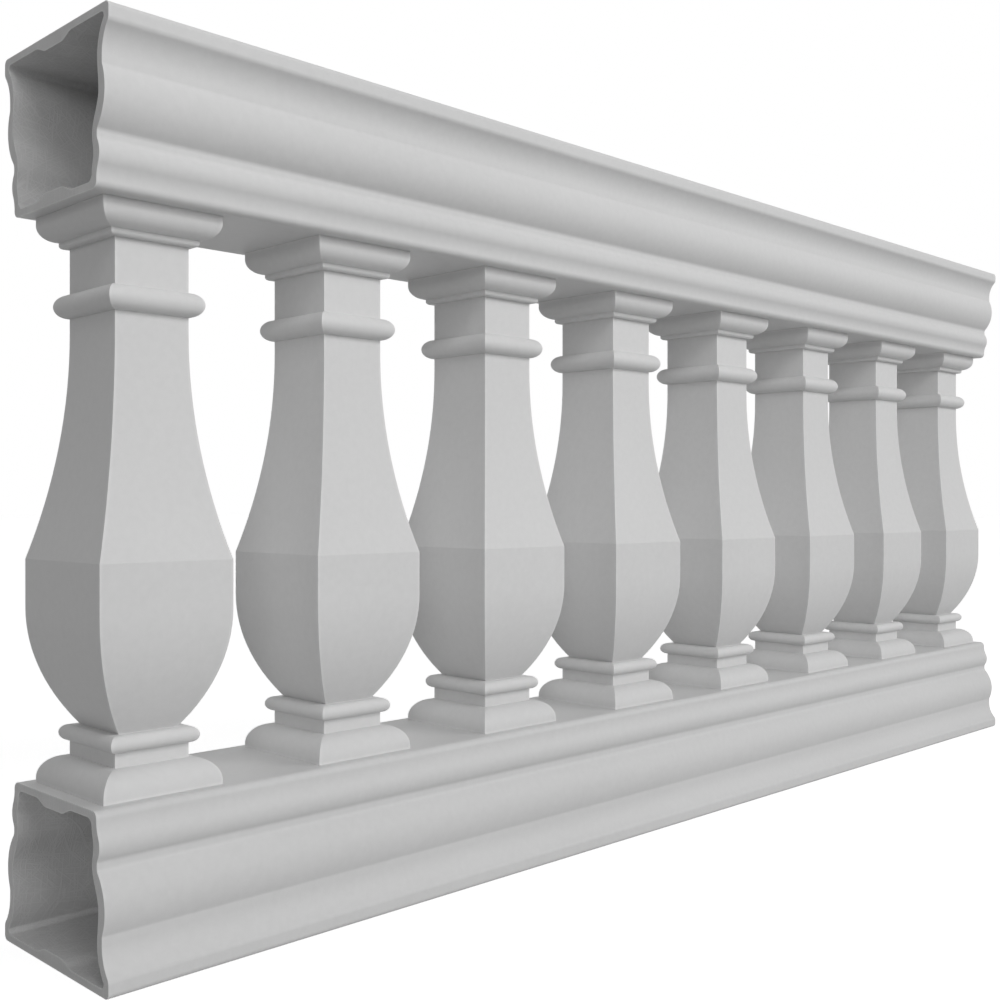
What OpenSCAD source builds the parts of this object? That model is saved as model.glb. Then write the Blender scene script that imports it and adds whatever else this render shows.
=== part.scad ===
// Fiberglass balustrade: one section of hollow moulded rail above and below
// a row of baluster shells with a rectangular, bellied body.
// X runs along the rails, -Y is the front and Z is up. The origin is on the
// floor, in the middle of the section.

/* [Section] */
// Height from the floor to the top of the handrail
overall_h = 914.4; // [760:0.1:1200]
// Length of the rails
section_l = 1920; // [1500:1:2600]
// Number of balusters
baluster_count = 8; // [2:1:9]
// Distance from a rail's end to the belly of the nearest baluster
end_gap = 7.5; // [1:0.1:120]

/* [Rail moulding] */
// Width across the fascias, which is the width of the rail's wide face
rail_w = 224; // [190:1:280]
// Height of the plain fascia next to the wide face
fascia_h = 17.2; // [16:0.1:40]
// Rise of the cove from the fascia to its deepest line
cove_h = 29.5; // [26:0.1:45]
// Depth of the cove below the fascia
cove_in = 12.6; // [8:0.1:20]
// Radius of the broad torus
torus_r = 50; // [42:0.5:70]
// Depth of the torus's crown below the fascia
torus_in = 7.4; // [4:0.1:11]
// Rise from the cove's deepest line to the torus's crown
torus_rise = 30.9; // [26:0.1:40]
// Depth of the quirk between torus and bead
quirk_in = 22.4; // [20:0.1:30]
// Radius of the bead
bead_r = 21; // [18:0.5:27]
// Depth of the bead's crown below the fascia
bead_in = 17.5; // [14:0.1:20]
// Rise from the torus's crown to the bead's crown
bead_rise = 57.8; // [54:0.1:75]
// Depth of the plain foot next to the narrow face
foot_in = 23.3; // [21:0.1:32]
// Rise from the bead's crown to the narrow face
foot_rise = 32.7; // [28:0.1:50]
// Rounding of the wide face's long edges
arris_r = 6; // [2:0.5:10]
// Rounding where the fascia breaks into the cove
ease_r = 8; // [1:0.5:10]
// Rounding of the hollows on either side of the torus
tuck_r = 7; // [1:0.5:8]
// Rounding of the long sweep from the bead into the foot
heel_r = 31; // [5:0.5:34]
// Rounding of the narrow face's long edges
toe_r = 7.5; // [2:0.5:9]

/* [Rail shell] */
// Thickness of the rail's moulded side walls
side_wall = 9.3; // [4:0.1:12]
// Thickness of the rail's flat top and bottom walls
flat_wall = 7.7; // [4:0.1:12]
// Share of each outer swell that still shows on the inside of the wall
inside_relief = 0.5; // [0:0.05:1]
// Rounding of the inner corners next to the wide face
inner_corner_r = 5; // [1:0.5:8]
// Rounding of the inner corners next to the narrow face
inner_toe_r = 8; // [1:0.5:12]
// Width of the thickened spine where it meets the wall
spine_base = 78; // [50:1:110]
// Width of the spine's flat crown
spine_crown = 32; // [16:1:48]
// Height of the spine above the wall
spine_h = 6.3; // [2:0.1:12]

/* [Baluster plan] */
// Width of the baluster's neck, along the rail
neck_w = 80.8; // [60:0.1:100]
// Width of the rail's narrow face left free in front of the baluster's base
ledge = 16.1; // [4:0.1:30]

/* [Baluster base] */
// Projection of the base beyond the neck, and of the cap
base_out = 24.6; // [20:0.1:32]
// Plain band at the foot of the base
base_band = 4.4; // [1:0.1:12]
// Radius of the base's quarter round
base_r = 23.4; // [14:0.1:24]
// Neck between the base and the lower ring
low_neck = 14.8; // [6:0.1:30]
// Radius of the lower half-round ring
low_ring_r = 8.3; // [5:0.1:12]

/* [Baluster belly] */
// How far the belly's foot is set in from the neck
belly_foot_in = 7.7; // [4:0.1:14]
// Projection of the belly beyond the neck
belly_out = 32.3; // [20:0.1:45]
// Rise from the belly's foot to where it is upright
belly_rise = 120.3; // [90:0.1:150]
// Upright band between the belly's lower curve and the crease
belly_band = 49.4; // [20:0.1:70]

/* [Baluster cap] */
// Neck from the top of the flare to the middle of the upper ring
ring_gap = 27.6; // [15:0.1:50]
// Radius of the upper ring
ring_r = 12.5; // [8:0.1:15]
// Projection of the upper ring beyond the neck
ring_out = 12.2; // [6:0.1:15]
// Neck from the middle of the upper ring to the lip
cap_neck = 59; // [30:0.1:80]
// Height of the lip under the cap
lip_h = 6.6; // [5:0.1:12]
// Projection of the lip beyond the neck
lip_out = 8; // [5:0.1:12]
// Rounding of the lip's lower edge
lip_r = 4; // [1:0.1:5]
// Radius of the cap's ovolo
ovolo_r = 18; // [12:0.1:20]
// Plain band at the top of the cap
cap_band = 7.6; // [3:0.1:12]

/* [Hidden] */
$fn = 180;
finish = "gainsboro";

half_w = rail_w / 2;
cove_y = fascia_h + cove_h;
torus_y = cove_y + torus_rise;
bead_y = torus_y + bead_rise;
rail_h = bead_y + foot_rise;
cove_x = half_w - cove_in;
torus_x = half_w - torus_in;
quirk_x = half_w - quirk_in;
bead_x = half_w - bead_in;
foot_x = half_w - foot_in;
cove_r = (cove_h * cove_h + cove_in * cove_in) / (2 * cove_in);

end_margin = end_gap + neck_w / 2 + belly_out;
pitch = (section_l - 2 * end_margin) / (baluster_count - 1);
baluster_h = overall_h - 2 * rail_h;
neck_d = 2 * (foot_x - ledge - base_out);
low_ring_z = base_band + base_r + low_neck + low_ring_r;
belly_z = low_ring_z + low_ring_r;
belly_mid = belly_z + belly_rise;
crease_z = belly_mid + belly_band;
ovolo_z = baluster_h - cap_band - ovolo_r;
lip_z = ovolo_z - lip_h;
ring_z = lip_z - cap_neck;
flare_z = ring_z - ring_gap;
flare_h = flare_z - crease_z;
belly_r = arch_radius(belly_rise, belly_out + belly_foot_in);
flare_r = arch_radius(flare_h, belly_out);

// Radius of the arc that leaves a tangent and moves out by "out" over "rise"
function arch_radius(rise, out) = (rise * rise + out * out) / (2 * out);

// Points along an arc, closer together on small radii
function arc(centre, r, from, to) =
    let (steps = ceil(abs(to - from) / (r > 20 ? 4 : 10)))
    [for (i = [0:steps])
        let (a = from + (to - from) * i / steps)
        centre + r * [cos(a), sin(a)]];

// Direction from one point to another
function bearing(a, b) = atan2(b.y - a.y, b.x - a.x);

// Centre on the upright line x from which a circle of radius r touches the
// circle (c, r_c) from outside, above it (side 1) or below it (side -1)
function beside(x, r, c, r_c, side) =
    [x, c.y + side * sqrt(pow(r_c + r, 2) - pow(x - c.x, 2))];

// Smooth S-curve from a to b, upright at both ends
function sway(a, b, steps = 6) =
    [for (i = [0:steps])
        [a.x + (b.x - a.x) * (1 - cos(180 * i / steps)) / 2,
         a.y + (b.y - a.y) * i / steps]];

function swap(points) = [for (p = points) [p.y, p.x]];

// A half outline and its mirror image as one closed outline
function both_sides(half) =
    concat(half, [for (i = [len(half) - 1:-1:0]) [-half[i].x, half[i].y]]);

// Outer moulding of the rail from the wide face (y = 0) to the narrow one,
// as arcs that run into each other
function rail_outer() =
    let (
        arris = [half_w - arris_r, arris_r],
        cove = [cove_x + cove_r, cove_y],
        ease = beside(half_w - ease_r, ease_r, cove, cove_r, -1),
        torus = [torus_x - torus_r, torus_y],
        tuck = beside(cove_x + tuck_r, tuck_r, torus, torus_r, -1),
        quirk_a = beside(quirk_x + tuck_r, tuck_r, torus, torus_r, 1),
        bead = [bead_x - bead_r, bead_y],
        quirk_b = beside(quirk_x + tuck_r, tuck_r, bead, bead_r, -1),
        heel = beside(foot_x + heel_r, heel_r, bead, bead_r, 1),
        toe = [foot_x - toe_r, rail_h - toe_r]
    )
    concat(
        arc(arris, arris_r, -90, 0),
        arc(ease, ease_r, 0, bearing(ease, cove)),
        arc(cove, cove_r, bearing(cove, ease), -180),
        arc(tuck, tuck_r, 180, bearing(tuck, torus)),
        arc(torus, torus_r, bearing(torus, tuck), bearing(torus, quirk_a)),
        arc(quirk_a, tuck_r, bearing(quirk_a, torus), -180),
        arc(quirk_b, tuck_r, 180, bearing(quirk_b, bead)),
        arc(bead, bead_r, bearing(bead, quirk_b), bearing(bead, heel)),
        arc(heel, heel_r, bearing(heel, bead), -180),
        arc(toe, toe_r, 0, 90)
    );

// Hollow of the rail: the wall keeps its thickness behind the cove, follows the
// mouldings above it more softly, and both flat walls carry a spine
function rail_inner() =
    let (
        low = flat_wall,
        high = rail_h - flat_wall,
        wide_x = half_w - side_wall,
        narrow_x = foot_x - side_wall,
        cove = [cove_x + cove_r, cove_y],
        behind_r = cove_r + side_wall,
        behind_a = acos((cove.x - wide_x) / behind_r),
        corner_r = min(inner_corner_r, cove_y - behind_r * sin(behind_a) - low),
        torus_in_x = cove_x + inside_relief * (torus_x - cove_x) - side_wall,
        bead_in_x = quirk_x + inside_relief * (bead_x - quirk_x) - side_wall,
        quirk_y = (torus_y + bead_y) / 2 + bead_r / 2,
        side = [
            [cove_x - side_wall, cove_y],
            [torus_in_x, torus_y],
            [quirk_x - side_wall, quirk_y],
            [bead_in_x, bead_y],
            [narrow_x, high - inner_toe_r]
        ]
    )
    concat(
        swap(sway([low + spine_h, spine_crown / 2], [low, spine_base / 2])),
        arc([wide_x - corner_r, low + corner_r], corner_r, -90, 0),
        arc(cove, behind_r, 180 + behind_a, 180),
        [for (i = [0:len(side) - 2]) each sway(side[i], side[i + 1])],
        arc([narrow_x - inner_toe_r, high - inner_toe_r], inner_toe_r, 0, 90),
        swap(sway([high, spine_base / 2], [high - spine_h, spine_crown / 2]))
    );

module rail() {
    color(finish)
        rotate([90, 0, 90])
            linear_extrude(section_l, center = true)
                difference() {
                    polygon(both_sides(rail_outer()));
                    polygon(both_sides(rail_inner()));
                }
}

module bottom_rail() {
    rail();
}

module top_rail() {
    translate([0, 0, overall_h])
        mirror([0, 0, 1])
            rail();
}

// Plain band of the baluster's half outline, from the axis out to "out"
module band(out, from, to) {
    translate([0, from])
        square([out, to - from]);
}

// Half-round ring on a face at "out"
module ring(out, z, r) {
    translate([out, z])
        circle(r);
}

// Side outline of the baluster, for a neck of the given half width
module half_outline(neck) {
    edge = neck + base_out;
    belly = neck + belly_out;

    // base: a plain band under a quarter round, then the lower neck and ring
    band(edge, 0, base_band);
    band(edge - base_r, base_band, base_band + base_r);
    intersection() {
        ring(edge - base_r, base_band, base_r);
        band(edge, base_band, base_band + base_r);
    }
    band(neck, base_band + base_r, belly_z);
    ring(neck, low_ring_z, low_ring_r);

    // belly: swells on one arc, stands upright, then flares back to the neck
    intersection() {
        ring(belly - belly_r, belly_mid, belly_r);
        band(belly, belly_z, belly_mid);
    }
    band(belly, belly_mid, crease_z);
    difference() {
        band(belly, crease_z, flare_z);
        ring(neck + flare_r, flare_z, flare_r);
    }

    // upper neck and ring, lip with a rounded lower edge, ovolo and top band
    band(neck, flare_z, lip_z);
    ring(neck + ring_out - ring_r, ring_z, ring_r);
    band(neck + lip_out - lip_r, lip_z, ovolo_z);
    ring(neck + lip_out - lip_r, lip_z + lip_r, lip_r);
    band(neck + lip_out, lip_z + lip_r, ovolo_z);
    intersection() {
        ring(edge - ovolo_r, ovolo_z + ovolo_r, ovolo_r);
        band(edge, ovolo_z, ovolo_z + ovolo_r);
    }
    band(edge - ovolo_r, ovolo_z, baluster_h);
    band(edge, ovolo_z + ovolo_r, baluster_h);
}

// The outline on both sides of the axis, run right through the baluster
module outline_block(neck) {
    linear_extrude(2 * rail_w, center = true)
        union() {
            half_outline(neck);
            mirror([1, 0])
                half_outline(neck);
        }
}

// Where the front and side outlines cross, every moulding mitres at the edges
module baluster(i) {
    translate([end_margin - section_l / 2 + (i - 1) * pitch, 0, rail_h])
        color(finish)
            intersection() {
                rotate([90, 0, 0])
                    outline_block(neck_w / 2);
                rotate([90, 0, 90])
                    outline_block(neck_d / 2);
            }
}

bottom_rail();
top_rail();
for (i = [1:baluster_count])
    baluster(i);
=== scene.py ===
import math
import bpy
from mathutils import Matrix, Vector


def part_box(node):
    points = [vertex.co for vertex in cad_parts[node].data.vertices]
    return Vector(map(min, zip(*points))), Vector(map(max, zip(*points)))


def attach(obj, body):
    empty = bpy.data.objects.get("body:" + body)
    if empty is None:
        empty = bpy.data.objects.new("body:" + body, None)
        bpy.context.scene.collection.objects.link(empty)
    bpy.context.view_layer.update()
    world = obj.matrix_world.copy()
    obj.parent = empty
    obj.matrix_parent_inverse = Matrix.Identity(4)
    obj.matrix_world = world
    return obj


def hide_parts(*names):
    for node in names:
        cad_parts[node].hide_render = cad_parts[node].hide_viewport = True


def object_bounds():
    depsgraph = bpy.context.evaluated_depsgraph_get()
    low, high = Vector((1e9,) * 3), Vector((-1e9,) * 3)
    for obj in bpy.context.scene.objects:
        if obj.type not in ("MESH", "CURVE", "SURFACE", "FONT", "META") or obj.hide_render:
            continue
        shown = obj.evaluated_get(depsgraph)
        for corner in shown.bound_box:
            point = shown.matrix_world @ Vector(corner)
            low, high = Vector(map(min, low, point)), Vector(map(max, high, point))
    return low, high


# Fiberglass balustrade section: a hollow moulded rail below and above, and
# eight rectangular, bellied balusters. Metres; X along the rails, -Y front.
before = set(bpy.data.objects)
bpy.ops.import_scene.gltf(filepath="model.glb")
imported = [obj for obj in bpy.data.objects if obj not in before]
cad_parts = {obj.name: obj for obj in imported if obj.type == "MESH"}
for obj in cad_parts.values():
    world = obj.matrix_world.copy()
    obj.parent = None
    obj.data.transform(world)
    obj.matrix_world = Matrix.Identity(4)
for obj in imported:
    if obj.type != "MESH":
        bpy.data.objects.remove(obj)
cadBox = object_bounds()
mm = 0.001
weld = 0.01 * mm                         # points nearer than this are one point
shortest = 0.02 * mm                     # outline points nearer than this are left out
flatOn = 0.9                             # a normal's share along an axis for a face across it
faceWeight = 90                          # big faces keep their own normals
print("frame loaded")


def arcPoints(centre, radius, start, end, step):
    # points on an arc from one angle to another, in degrees, at most a step apart
    count = max(1, math.ceil(abs(end - start) / step))
    turns = [math.radians(start + (end - start) * i / count) for i in range(count + 1)]
    return [(centre[0] + radius * math.cos(t), centre[1] + radius * math.sin(t)) for t in turns]


def bearing(a, b):                       # direction from a to b, in degrees
    return math.degrees(math.atan2(b[1] - a[1], b[0] - a[0]))


def beside(x, radius, other, otherRadius, side):
    # centre on the line x of a circle that touches another one from outside
    rise = math.sqrt((otherRadius + radius) ** 2 - (x - other[0]) ** 2)
    return (x, other[1] + side * rise)


def sway(a, b, steps):                   # S-curve from a to b, upright at both ends
    points = []
    for i in range(steps + 1):
        t = i / steps
        across = (1 - math.cos(math.pi * t)) / 2
        points.append((a[0] + (b[0] - a[0]) * across, a[1] + (b[1] - a[1]) * t))
    return points


def thinned(points):                     # without points that all but touch the one before
    return [p for i, p in enumerate(points)
            if i == 0 or (Vector(p) - Vector(points[i - 1])).length > shortest]


def pickOnly(piece):
    bpy.ops.object.select_all(action="DESELECT")
    piece.select_set(True)
    bpy.context.view_layer.objects.active = piece


def editMode(piece):
    pickOnly(piece)
    bpy.ops.object.mode_set(mode="EDIT")
    bpy.ops.mesh.select_all(action="DESELECT")


def objectMode():
    bpy.ops.object.mode_set(mode="OBJECT")


def pickFaces(piece, test):              # select the faces whose centre and normal pass
    bpy.ops.mesh.select_mode(type="FACE")
    bpy.ops.mesh.select_all(action="DESELECT")
    objectMode()
    for face in piece.data.polygons:
        face.select = test(face.center, face.normal)
    bpy.ops.object.mode_set(mode="EDIT")


def applyModifier(piece, kind, **settings):
    modifier = piece.modifiers.new(kind.title(), kind)
    for name, value in settings.items():
        setattr(modifier, name, value)
    bpy.ops.object.modifier_apply(modifier=modifier.name)


def settle(piece):                       # place and size go into the mesh
    pickOnly(piece)
    bpy.ops.object.transform_apply(location=True, rotation=True, scale=True)


class Wire:
    # one output of a shader node: sums and products of wires and numbers add Math nodes
    def __init__(self, tree, output=None):
        self.tree = tree
        self.output = output

    def __getitem__(self, name):         # another output of the same node
        return Wire(self.tree, self.output.node.outputs[name])

    def node(self, kind, settings=(), values=()):
        made = self.tree.nodes.new("ShaderNode" + kind)
        for name, value in dict(settings).items():
            setattr(made, name, value)
        for name, value in dict(values).items():
            if isinstance(value, Wire):
                self.tree.links.new(value.output, made.inputs[name])
            else:
                made.inputs[name].default_value = value
        return Wire(self.tree, made.outputs[0] if len(made.outputs) else None)

    def maths(self, operation, first, second):
        return self.node("Math", {"operation": operation}, {0: first, 1: second})

    def __add__(self, other):
        return self.maths("ADD", self, other)

    def __sub__(self, other):
        return self.maths("SUBTRACT", self, other)

    def __rsub__(self, other):
        return self.maths("SUBTRACT", other, self)

    def __mul__(self, other):
        return self.maths("MULTIPLY", self, other)

    __radd__ = __add__
    __rmul__ = __mul__


def newTree(owner):                      # an empty node tree to draw wires from
    owner.use_nodes = True
    owner.node_tree.nodes.clear()
    return Wire(owner.node_tree)


def grey(tone):
    return (tone, tone, tone, 1)


def noise(place, scale, detail=2):       # even noise about a half
    return place.node("TexNoise", {}, {"Vector": place, "Scale": scale, "Detail": detail})["Fac"]


def above(value, low, high):             # 0 under low, 1 over high, a soft step between
    settings = {"interpolation_type": "SMOOTHSTEP"}
    return value.node("MapRange", settings, {"Value": value, "From Min": low, "From Max": high})


def between(share, first, second):       # colour from first to second
    settings = {"data_type": "RGBA", "clamp_factor": True}
    return share.node("Mix", settings, {0: share, 6: grey(first), 7: grey(second)})[2]


def bump(height, depth, below=None):
    values = {"Height": height, "Distance": depth, "Strength": 1}   # depth in metres
    if below:
        values["Normal"] = below
    return height.node("Bump", {}, values)


def closeness(place, reach, inside):     # 0 in the open, 1 deep in a hollow or on a thin edge
    settings = {"samples": 4, "inside": inside, "only_local": True}
    return 1 - place.node("AmbientOcclusion", settings, {"Distance": reach})["AO"]


def finishWith(start, colour, roughness, normal, gloss):
    shader = start.node("BsdfPrincipled", {}, {
        "Base Color": colour, "Roughness": roughness, "Normal": normal, "Specular IOR Level": gloss})
    start.node("OutputMaterial", {}, {"Surface": shader})


# The moulded outer skin: faintly cloudy, a soft orange peel, rubbed arrises, painted shade in its
# hollows
railSkin = {
    "name": "railGelcoat",
    "dark": 0.54, "light": 0.74,         # the skin's greys
    "cloudScale": 2.3, "cloudDetail": 4, "cloudShare": 0.4,
    "fleckScale": 120, "fleckShare": 0.25, "scuffScale": 30,
    # the hollow mask paints shade: the skin is darker deep in hollows and creases, and rougher there
    # with dust
    "rubReach": 0.004, "rubShare": 0.7, "dustReach": 0.02, "dustShare": 0.1,
    "rough": 0.55, "roughSpread": 0.2,
    "waveScale": 7, "waveDepth": 0.0012, "peelScale": 420, "peelDepth": 0.00004,
    "gloss": 0.15,
}
balusterSkin = dict(railSkin, name="balusterGelcoat", dark=0.57, light=0.77, cloudScale=3.1,
                    rubShare=1.2, waveScale=9)


def gelcoatFinish(s):
    material = bpy.data.materials.new(s["name"])
    start = newTree(material)
    place = start.node("TexCoord")["Object"]
    cloud = noise(place, s["cloudScale"], s["cloudDetail"]) - 0.5
    fleck = noise(place, s["fleckScale"]) - 0.5
    scuffs = noise(place, s["scuffScale"])
    rub = closeness(place, s["rubReach"], True) * scuffs
    # painted shade: darker deep in hollows and creases, where shade falls; the same mask makes them
    # rougher with dust
    dustAndShade = closeness(place, s["dustReach"], False)
    tone = (0.5 + cloud * s["cloudShare"] + fleck * s["fleckShare"]
            + rub * s["rubShare"] - dustAndShade * s["dustShare"])
    roughness = s["rough"] + (fleck + cloud) * s["roughSpread"] + (dustAndShade - rub) * s["roughSpread"]
    wave = bump(noise(place, s["waveScale"]), s["waveDepth"])
    peel = bump(noise(place, s["peelScale"]), s["peelDepth"], wave)
    finishWith(start, between(tone, s["dark"], s["light"]), roughness, peel, s["gloss"])
    return material


# The bare inside of the rails: chopped strands lying at random under the resin
laminate = {
    "dark": 0.61, "light": 0.77, "bare": 0.4,       # bare: where resin without strands lies
    "strandLength": 0.04, "strandWidth": 0.002, "strandTurns": (8, 47, 95, 140),
    "strandFrom": 0.56, "strandTo": 0.64, "strandShare": 0.28, "strandDepth": 0.00015,
    "cloudScale": 6, "cloudDetail": 4, "cloudShare": 0.8,
    "lumpScale": 30, "lumpDepth": 0.0012,
    "rough": 0.6, "roughSpread": 0.2, "gloss": 0.2,
}


def laminateFinish(s):
    material = bpy.data.materials.new("laminate")
    start = newTree(material)
    place = start.node("TexCoord")["Object"]
    axes = place.node("SeparateXYZ", {}, {"Vector": place})
    girth = axes["Y"] + axes["Z"]        # runs on round the hollow's corners
    flat = place.node("CombineXYZ", {}, {"X": axes["X"], "Y": girth})
    strands = None
    for turn in s["strandTurns"]:
        turned = flat.node("Mapping", {}, {"Vector": flat, "Rotation": (0, 0, math.radians(turn))})
        stretched = turned.node("Mapping", {}, {
            "Vector": turned, "Scale": (1 / s["strandLength"], 1 / s["strandWidth"], 1)})
        layer = above(noise(stretched, 1, 1), s["strandFrom"], s["strandTo"])
        strands = layer if strands is None else strands.maths("MAXIMUM", strands, layer)
    cloud = noise(place, s["cloudScale"], s["cloudDetail"]) - 0.5
    tone = s["bare"] + strands * s["strandShare"] + cloud * s["cloudShare"]
    roughness = s["rough"] + (cloud - strands) * s["roughSpread"]
    lumps = bump(noise(place, s["lumpScale"]), s["lumpDepth"])
    normal = bump(strands, s["strandDepth"], lumps)
    finishWith(start, between(tone, s["dark"], s["light"]), roughness, normal, s["gloss"])
    return material


# The sawn ends: matt, with fine saw marks and the cut ends of the strands
sawnEdge = {
    "dark": 0.54, "light": 0.72,
    "sawScale": 700, "sawLengthScale": 17.5, "sawDepth": 0.00006, "sawShare": 0.6,
    "strandScale": 900, "strandShare": 0.8,
    "cloudScale": 30, "cloudDetail": 3, "cloudShare": 0.8,
    "rough": 0.75, "roughSpread": 0.2, "gloss": 0.1,
}


def sawnFinish(s):
    material = bpy.data.materials.new("sawnLaminate")
    start = newTree(material)
    place = start.node("TexCoord")["Object"]
    stretched = place.node("Mapping", {}, {
        "Vector": place, "Scale": (1, s["sawScale"], s["sawLengthScale"])})
    saw = noise(stretched, 1) - 0.5
    strands = noise(place, s["strandScale"]) - 0.5
    cloud = noise(place, s["cloudScale"], s["cloudDetail"]) - 0.5
    tone = 0.5 + saw * s["sawShare"] + strands * s["strandShare"] + cloud * s["cloudShare"]
    roughness = s["rough"] + strands * s["roughSpread"]
    marks = bump(saw, s["sawDepth"])
    finishWith(start, between(tone, s["dark"], s["light"]), roughness, marks, s["gloss"])
    return material


railOutside, balusterOutside = gelcoatFinish(railSkin), gelcoatFinish(balusterSkin)
inside, sawn = laminateFinish(laminate), sawnFinish(sawnEdge)
print("finishes made")

rail = {                                 # millimetres
    "fasciaHeight": 17.2, "coveHeight": 29.5, "coveIn": 12.6,
    "torusRadius": 50, "torusIn": 7.4, "torusRise": 30.9,
    "quirkIn": 22.4, "beadRadius": 21, "beadIn": 17.5, "beadRise": 57.8, "footIn": 23.3,
    "arris": 6, "ease": 8, "tuck": 7, "heel": 31, "toe": 7.5,
    "sideWall": 9.3, "flatWall": 7.7, "insideRelief": 0.5, "innerCorner": 5, "innerToe": 8,
    "spineBase": 78, "spineCrown": 32, "spineHeight": 6.3,
    "wideRadius": 20, "wideStep": 2.5, "step": 9,    # arcs over that radius have finer steps
    "swaySteps": 10,
    "skin": 0.9,                         # gelcoat and resin seen round the sawn ends
    "cutEdge": 0.15, "cutEdgeOver": 50,  # rounding on edges sharper than so many degrees
}


def railHalfOutline(s, halfWidth, height):
    # half of the wall's cross-section in millimetres, from the middle of the wide
    # face round the moulding, then back along the inside
    coveY = s["fasciaHeight"] + s["coveHeight"]
    torusY = coveY + s["torusRise"]
    beadY = torusY + s["beadRise"]
    coveX = halfWidth - s["coveIn"]
    quirkX = halfWidth - s["quirkIn"]
    torusX = halfWidth - s["torusIn"]
    beadX = halfWidth - s["beadIn"]
    footX = halfWidth - s["footIn"]
    arrisR, easeR, tuckR, heelR, toeR = s["arris"], s["ease"], s["tuck"], s["heel"], s["toe"]
    torusR, beadR = s["torusRadius"], s["beadRadius"]
    coveR = (s["coveHeight"] ** 2 + s["coveIn"] ** 2) / (2 * s["coveIn"])

    cove = (coveX + coveR, coveY)
    ease = beside(halfWidth - easeR, easeR, cove, coveR, -1)
    torus = (torusX - torusR, torusY)
    tuck = beside(coveX + tuckR, tuckR, torus, torusR, -1)
    quirkA = beside(quirkX + tuckR, tuckR, torus, torusR, 1)
    bead = (beadX - beadR, beadY)
    quirkB = beside(quirkX + tuckR, tuckR, bead, beadR, -1)
    heel = beside(footX + heelR, heelR, bead, beadR, 1)

    def arc(centre, radius, start, end):
        step = s["wideStep"] if radius > s["wideRadius"] else s["step"]
        return arcPoints(centre, radius, start, end, step)

    outer = [(0, 0)]
    outer += arc((halfWidth - arrisR, arrisR), arrisR, -90, 0)
    outer += arc(ease, easeR, 0, bearing(ease, cove))
    outer += arc(cove, coveR, bearing(cove, ease) % 360, 180)
    outer += arc(tuck, tuckR, 180, bearing(tuck, torus) % 360)
    outer += arc(torus, torusR, bearing(torus, tuck), bearing(torus, quirkA))
    outer += arc(quirkA, tuckR, bearing(quirkA, torus) % 360, 180)
    outer += arc(quirkB, tuckR, 180, bearing(quirkB, bead) % 360)
    outer += arc(bead, beadR, bearing(bead, quirkB), bearing(bead, heel))
    outer += arc(heel, heelR, bearing(heel, bead) % 360, 180)
    outer += arc((footX - toeR, height - toeR), toeR, 0, 90)
    outer += [(0, height)]

    wall, corner, toe, relief = s["sideWall"], s["innerCorner"], s["innerToe"], s["insideRelief"]
    low, high = s["flatWall"], height - s["flatWall"]
    wideX, narrowX = halfWidth - wall, footX - wall
    behindR = coveR + wall               # the wall keeps its thickness behind the cove
    behind = math.degrees(math.acos((cove[0] - wideX) / behindR))
    side = [
        (coveX - wall, coveY),
        (coveX + relief * (torusX - coveX) - wall, torusY),
        (quirkX - wall, (torusY + beadY + beadR) / 2),
        (quirkX + relief * (beadX - quirkX) - wall, beadY),
        (narrowX, high - toe),
    ]
    crown, base, rise = s["spineCrown"] / 2, s["spineBase"] / 2, s["spineHeight"]
    inner = [(0, low + rise)]
    inner += [(y, z) for z, y in sway((low + rise, crown), (low, base), s["swaySteps"])]
    inner += arc((wideX - corner, low + corner), corner, -90, 0)
    inner += arc(cove, behindR, 180 + behind, 180)
    for a, b in zip(side, side[1:]):
        inner += sway(a, b, s["swaySteps"])
    inner += arc((narrowX - toe, high - toe), toe, 0, 90)
    inner += [(y, z) for z, y in sway((high, base), (high - rise, crown), s["swaySteps"])]
    inner += [(0, high - rise)]
    return outer + inner[::-1]


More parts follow.
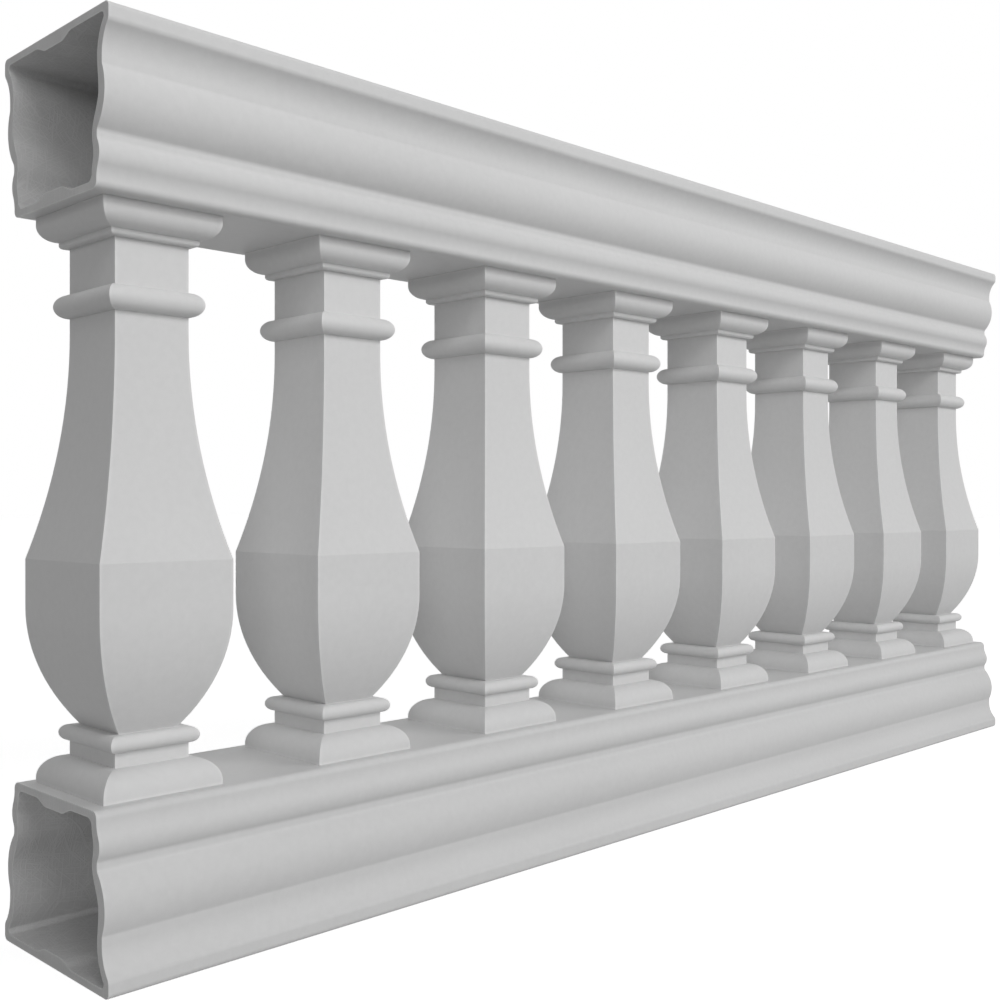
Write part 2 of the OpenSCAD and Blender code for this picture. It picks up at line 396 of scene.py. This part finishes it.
def buildRail(name, s, low, high):
    size = high - low
    points = [(low.x, y * mm, low.z + z * mm) for y, z in
              railHalfOutline(s, size.y / mm / 2, size.z / mm)]
    points = thinned(points)
    axis = Vector((0, 0, (low.z + high.z) / 2))

    def onMiddle(centre, normal):
        return abs(centre.y) < weld and abs(normal.y) > flatOn

    def onEnd(centre, normal):
        return abs(normal.x) > flatOn

    def inHollow(centre, normal):
        return not onEnd(centre, normal) and normal.yz.dot((centre - axis).yz) < 0

    bpy.ops.object.select_all(action="DESELECT")
    bpy.ops.mesh.primitive_plane_add(size=mm, location=points[0])
    piece = bpy.context.object
    piece.name = piece.data.name = name
    settle(piece)
    editMode(piece)
    bpy.ops.mesh.select_all(action="SELECT")
    bpy.ops.mesh.merge(type="CENTER")    # one vertex, drawn out round the wall
    for a, b in zip(points, points[1:]):
        bpy.ops.mesh.extrude_vertices_move(
            TRANSFORM_OT_translate={"value": [b[i] - a[i] for i in range(3)]})
    bpy.ops.mesh.select_all(action="SELECT")
    bpy.ops.mesh.edge_face_add()
    bpy.ops.mesh.extrude_region_move(TRANSFORM_OT_translate={"value": (size.x, 0, 0)})
    bpy.ops.mesh.select_all(action="SELECT")
    bpy.ops.mesh.normals_make_consistent(inside=False)
    pickFaces(piece, onMiddle)
    bpy.ops.mesh.delete(type="FACE")
    objectMode()
    applyModifier(piece, "MIRROR", use_axis=(False, True, False), merge_threshold=weld)
    editMode(piece)
    bpy.ops.mesh.select_all(action="SELECT")
    bpy.ops.mesh.remove_doubles(threshold=weld)
    bpy.ops.mesh.normals_make_consistent(inside=False)
    objectMode()

    for material in (railOutside, inside, sawn):
        piece.data.materials.append(material)
    editMode(piece)
    pickFaces(piece, inHollow)
    piece.active_material_index = 1
    bpy.ops.object.material_slot_assign()
    pickFaces(piece, onEnd)
    bpy.ops.mesh.inset(thickness=s["skin"] * mm, use_even_offset=True)
    piece.active_material_index = 2
    bpy.ops.object.material_slot_assign()
    objectMode()
    bpy.ops.object.shade_smooth()
    applyModifier(piece, "BEVEL", width=s["cutEdge"] * mm, segments=2,
                  limit_method="ANGLE", angle_limit=math.radians(s["cutEdgeOver"]),
                  use_clamp_overlap=False)
    applyModifier(piece, "WEIGHTED_NORMAL", mode="FACE_AREA", weight=faceWeight)
    return piece


low, high = [Vector(p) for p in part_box("bottom_rail")]
bottomRail = buildRail("bottomRailShell", rail, low, high)
print("bottom rail", len(bottomRail.data.polygons), "faces")

pickOnly(bottomRail)
bpy.ops.object.duplicate()
topRail = bpy.context.object
topRail.name = topRail.data.name = "topRailShell"
editMode(topRail)
bpy.ops.mesh.select_all(action="SELECT")
bpy.ops.transform.rotate(value=math.pi, orient_axis="X", center_override=(0, 0, cadBox[1][2] / 2))
objectMode()
print("top rail turned over")


baluster = {                             # millimetres, out from the neck and up
    "neckHalf": (40.4, 48),              # half the neck along and across the rail
    "baseOut": 24.6, "baseBand": 4.4, "baseRadius": 23.4,
    "lowNeck": 14.8, "lowRing": 8.3,
    "footIn": 7.7, "bellyOut": 32.3, "bellyRise": 120.3, "bellyBand": 49.4,
    "ringGap": 27.6, "ring": 12.5, "ringOut": 12.2, "capNeck": 59,
    "lipHeight": 6.6, "lipOut": 8, "lipRadius": 4,
    "ovolo": 18, "capBand": 7.6,
    "edge": 0.2, "edgeOver": 12,         # rounding on edges sharper than so many degrees
    "ringStep": 9, "mouldStep": 5, "bellyStep": 2.5, "flareStep": 1,
}


def archRadius(rise, out):               # arc that starts upright and moves out over a rise
    return (rise ** 2 + out ** 2) / (2 * out)


def balusterOutline(s, height):
    # height above the rail and projection beyond the neck, in millimetres
    baseTop = s["baseBand"] + s["baseRadius"]
    ringLow = baseTop + s["lowNeck"] + s["lowRing"]
    foot = ringLow + s["lowRing"]
    middle = foot + s["bellyRise"]
    crease = middle + s["bellyBand"]
    ovoloLow = height - s["capBand"] - s["ovolo"]
    lip = ovoloLow - s["lipHeight"]
    ringHigh = lip - s["capNeck"]
    flare = ringHigh - s["ringGap"]
    out, belly = s["baseOut"], s["bellyOut"]
    bellyR = archRadius(s["bellyRise"], belly + s["footIn"])
    flareR = archRadius(flare - crease, belly)
    footTurn = -math.degrees(math.asin(s["bellyRise"] / bellyR))
    flareTurn = 180 + math.degrees(math.asin((flare - crease) / flareR))
    ringTurn = math.degrees(math.acos((s["ring"] - s["ringOut"]) / s["ring"]))
    ovoloTurn = -math.degrees(math.acos((s["lipOut"] - out + s["ovolo"]) / s["ovolo"]))

    line = [(out, 0)]
    line += arcPoints((out - s["baseRadius"], s["baseBand"]), s["baseRadius"], 0, 90, s["mouldStep"])
    line += [(0, baseTop)]
    line += arcPoints((0, ringLow), s["lowRing"], -90, 90, s["ringStep"])
    line += arcPoints((belly - bellyR, middle), bellyR, footTurn, 0, s["bellyStep"])
    line += arcPoints((flareR, flare), flareR, flareTurn, 180, s["flareStep"])
    line += arcPoints((s["ringOut"] - s["ring"], ringHigh), s["ring"], -ringTurn, ringTurn,
                      s["ringStep"])
    line += [(0, lip)]
    line += arcPoints((s["lipOut"] - s["lipRadius"], lip + s["lipRadius"]), s["lipRadius"],
                      -90, 0, s["ringStep"])
    line += arcPoints((out - s["ovolo"], height - s["capBand"]), s["ovolo"], ovoloTurn, 0,
                      s["mouldStep"])
    line += [(out, height)]
    return line


def buildBaluster(name, s, low, high):
    centre = (low + high) / 2
    half = [h * mm for h in s["neckHalf"]]
    line = [(out * mm, low.z + z * mm) for out, z in balusterOutline(s, (high.z - low.z) / mm)]
    line = thinned(line)
    out, z = line[0]

    bpy.ops.object.select_all(action="DESELECT")
    bpy.ops.mesh.primitive_plane_add(size=1, location=(centre.x, centre.y, z))
    piece = bpy.context.object
    piece.name = piece.data.name = name
    piece.scale = (2 * (half[0] + out), 2 * (half[1] + out), 1)
    settle(piece)
    editMode(piece)
    bpy.ops.mesh.select_all(action="SELECT")
    for nextOut, nextZ in line[1:]:      # raised and resized from one height to the next
        bpy.ops.mesh.extrude_region_move(TRANSFORM_OT_translate={"value": (0, 0, nextZ - z)})
        grow = [(half[i] + nextOut) / (half[i] + out) for i in range(2)]
        bpy.ops.transform.resize(value=(*grow, 1), center_override=(centre.x, centre.y, nextZ))
        out, z = nextOut, nextZ
    bpy.ops.mesh.select_all(action="SELECT")
    bpy.ops.mesh.normals_make_consistent(inside=False)
    bpy.ops.mesh.select_mode(type="EDGE")
    bpy.ops.mesh.select_all(action="DESELECT")
    bpy.ops.mesh.edges_select_sharp(sharpness=math.radians(s["edgeOver"]))
    objectMode()
    for edge in piece.data.edges:        # the seats on the rails stay square
        ends = [piece.data.vertices[v].co.z for v in edge.vertices]
        if max(ends) < low.z + weld or min(ends) > high.z - weld:
            edge.select = False
    bpy.ops.object.mode_set(mode="EDIT")
    bpy.ops.mesh.bevel(offset=s["edge"] * mm, segments=2, affect="EDGES", clamp_overlap=False)
    objectMode()
    piece.data.materials.append(balusterOutside)
    bpy.ops.object.shade_smooth()
    applyModifier(piece, "WEIGHTED_NORMAL", mode="FACE_AREA", weight=faceWeight)
    return piece


nodes = sorted((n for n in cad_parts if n.startswith("baluster_")),
               key=lambda n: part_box(n)[0][0])
boxes = {node: [Vector(p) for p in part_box(node)] for node in nodes}
shells = [buildBaluster("balusterShell1", baluster, *boxes[nodes[0]])]
print("baluster", len(shells[0].data.polygons), "faces")
for count, node in enumerate(nodes[1:], 2):
    pickOnly(shells[0])
    bpy.ops.object.duplicate()
    shell = bpy.context.object
    shell.name = shell.data.name = "balusterShell" + str(count)
    shell.location = boxes[node][0] - boxes[nodes[0]][0]
    settle(shell)
    shells.append(shell)
print("balusters", len(shells))

for piece, node in [(bottomRail, "bottom_rail"), (topRail, "top_rail")]:
    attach(piece, "root")
    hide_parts(node)
for piece, node in zip(shells, nodes):
    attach(piece, "root")
    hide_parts(node)
print("pieces stand for", 2 + len(shells), "nodes")


# Beyond the left end and in front, in shares of the object's height
camera = {"lens": 44.12, "sensor": 36, "turn": -45, "back": 1.2626, "left": 0.588}
height, halfLength = cadBox[1][2], cadBox[1][0]
bpy.ops.object.camera_add(
    location=(-halfLength - camera["left"] * height, -camera["back"] * height, height / 2),
    rotation=(math.radians(90), 0, math.radians(camera["turn"])))
view = bpy.context.object
view.data.lens = camera["lens"]
view.data.sensor_width = camera["sensor"]
bpy.context.scene.camera = view
bpy.context.scene.view_settings.view_transform = "Standard"
print("camera placed")

# Turn is from the front towards +X; glare is whether a lamp shows in reflections
sunAway = 3                              # only for seeing them in the viewport
lamps = [
    {"name": "rightSky", "turn": 120, "rise": 7, "soft": 14, "power": 1.6, "glare": False},
    {"name": "frontSky", "turn": 45, "rise": 15, "soft": 30, "power": 1, "glare": True},
    {"name": "leftSky", "turn": -45, "rise": 15, "soft": 30, "power": 0.47, "glare": True},
    {"name": "backSky", "turn": 180, "rise": 9, "soft": 18, "power": 0.6, "glare": False},
]
softBoxes = [                            # lamps of one size, standing round the front
    {"name": "highBox", "turn": -25, "height": 2.6, "power": 34, "glare": True},
    {"name": "sideBox", "turn": 50, "height": 1.6, "power": 7, "glare": True},
]
boxAway, boxAim, boxWidth, boxTall = 2.6, 0.46, 2.4, 0.8


def lampAt(kind, lamp, place, toward):   # a lamp at a place, shining back along a direction
    bpy.ops.object.light_add(type=kind, location=place)
    light = bpy.context.object
    light.name = lamp["name"]
    light.rotation_euler = toward.to_track_quat("Z", "Y").to_euler()
    light.visible_glossy = lamp["glare"]
    light.data.energy = lamp["power"]
    return light.data


def toLamp(turn, rise):                  # direction from the object towards a lamp
    return Vector((math.cos(rise) * math.sin(turn), -math.cos(rise) * math.cos(turn), math.sin(rise)))


for lamp in lamps:
    toward = toLamp(math.radians(lamp["turn"]), math.radians(lamp["rise"]))
    lampAt("SUN", lamp, toward * sunAway, toward).angle = math.radians(lamp["soft"])
for lamp in softBoxes:
    place = toLamp(math.radians(lamp["turn"]), 0) * boxAway + Vector((0, 0, lamp["height"]))
    box = lampAt("AREA", lamp, place, place - Vector((0, 0, boxAim)))
    box.shape, box.size, box.size_y = "RECTANGLE", boxWidth, boxTall
print("lamps", len(lamps) + len(softBoxes))

stage = {
    "floorSize": 60, "floorTone": 0.54,  # tone of the floor for the light that it gives back
    "ambient": 0.16,                     # even light from all round
    "white": 1.01,                       # the floor in the open, just over white
    "shadowShare": 0.3,                  # how much of a shadow shows on the pale floor
}


def seenDirectly(start):                 # 1 for the camera and in reflections
    path = start.node("LightPath")
    seen = path.maths("MAXIMUM", path["Is Camera Ray"], path["Is Glossy Ray"])
    return path.maths("MAXIMUM", seen, path["Is Transmission Ray"])


def mixShader(share, first, second):
    return share.node("MixShader", {}, {0: share, 1: first, 2: second})


world = bpy.data.worlds.new("studio")
bpy.context.scene.world = world
start = newTree(world)
ambient = start.node("Background", {"name": "ambient"}, {"Color": grey(1), "Strength": stage["ambient"]})
white = start.node("Background", {}, {"Color": grey(1), "Strength": 1})
start.node("OutputWorld", {}, {"Surface": mixShader(seenDirectly(start), ambient, white)})

bpy.ops.mesh.primitive_plane_add(size=stage["floorSize"], location=(0, 0, 0))
floor = bpy.context.object
floor.name = "studioFloor"

# Far from the boxes, the glow and the lit part of the floor add up to white
sunlight = sum(l["power"] * math.sin(math.radians(l["rise"])) for l in lamps)
daylight = sunlight / math.pi + stage["ambient"]
paleFloor = bpy.data.materials.new("paleFloor")
start = newTree(paleFloor)
plain = start.node("BsdfDiffuse", {}, {"Color": grey(stage["floorTone"])})
shaded = start.node("BsdfDiffuse", {}, {"Color": grey(stage["shadowShare"] / daylight)})
glow = start.node("Emission", {}, {"Color": grey(1), "Strength": stage["white"] - stage["shadowShare"]})
pale = start.node("AddShader", {}, {0: shaded, 1: glow})
start.node("OutputMaterial", {}, {"Surface": mixShader(seenDirectly(start), plain, pale)})
floor.data.materials.append(paleFloor)
print("stage set")
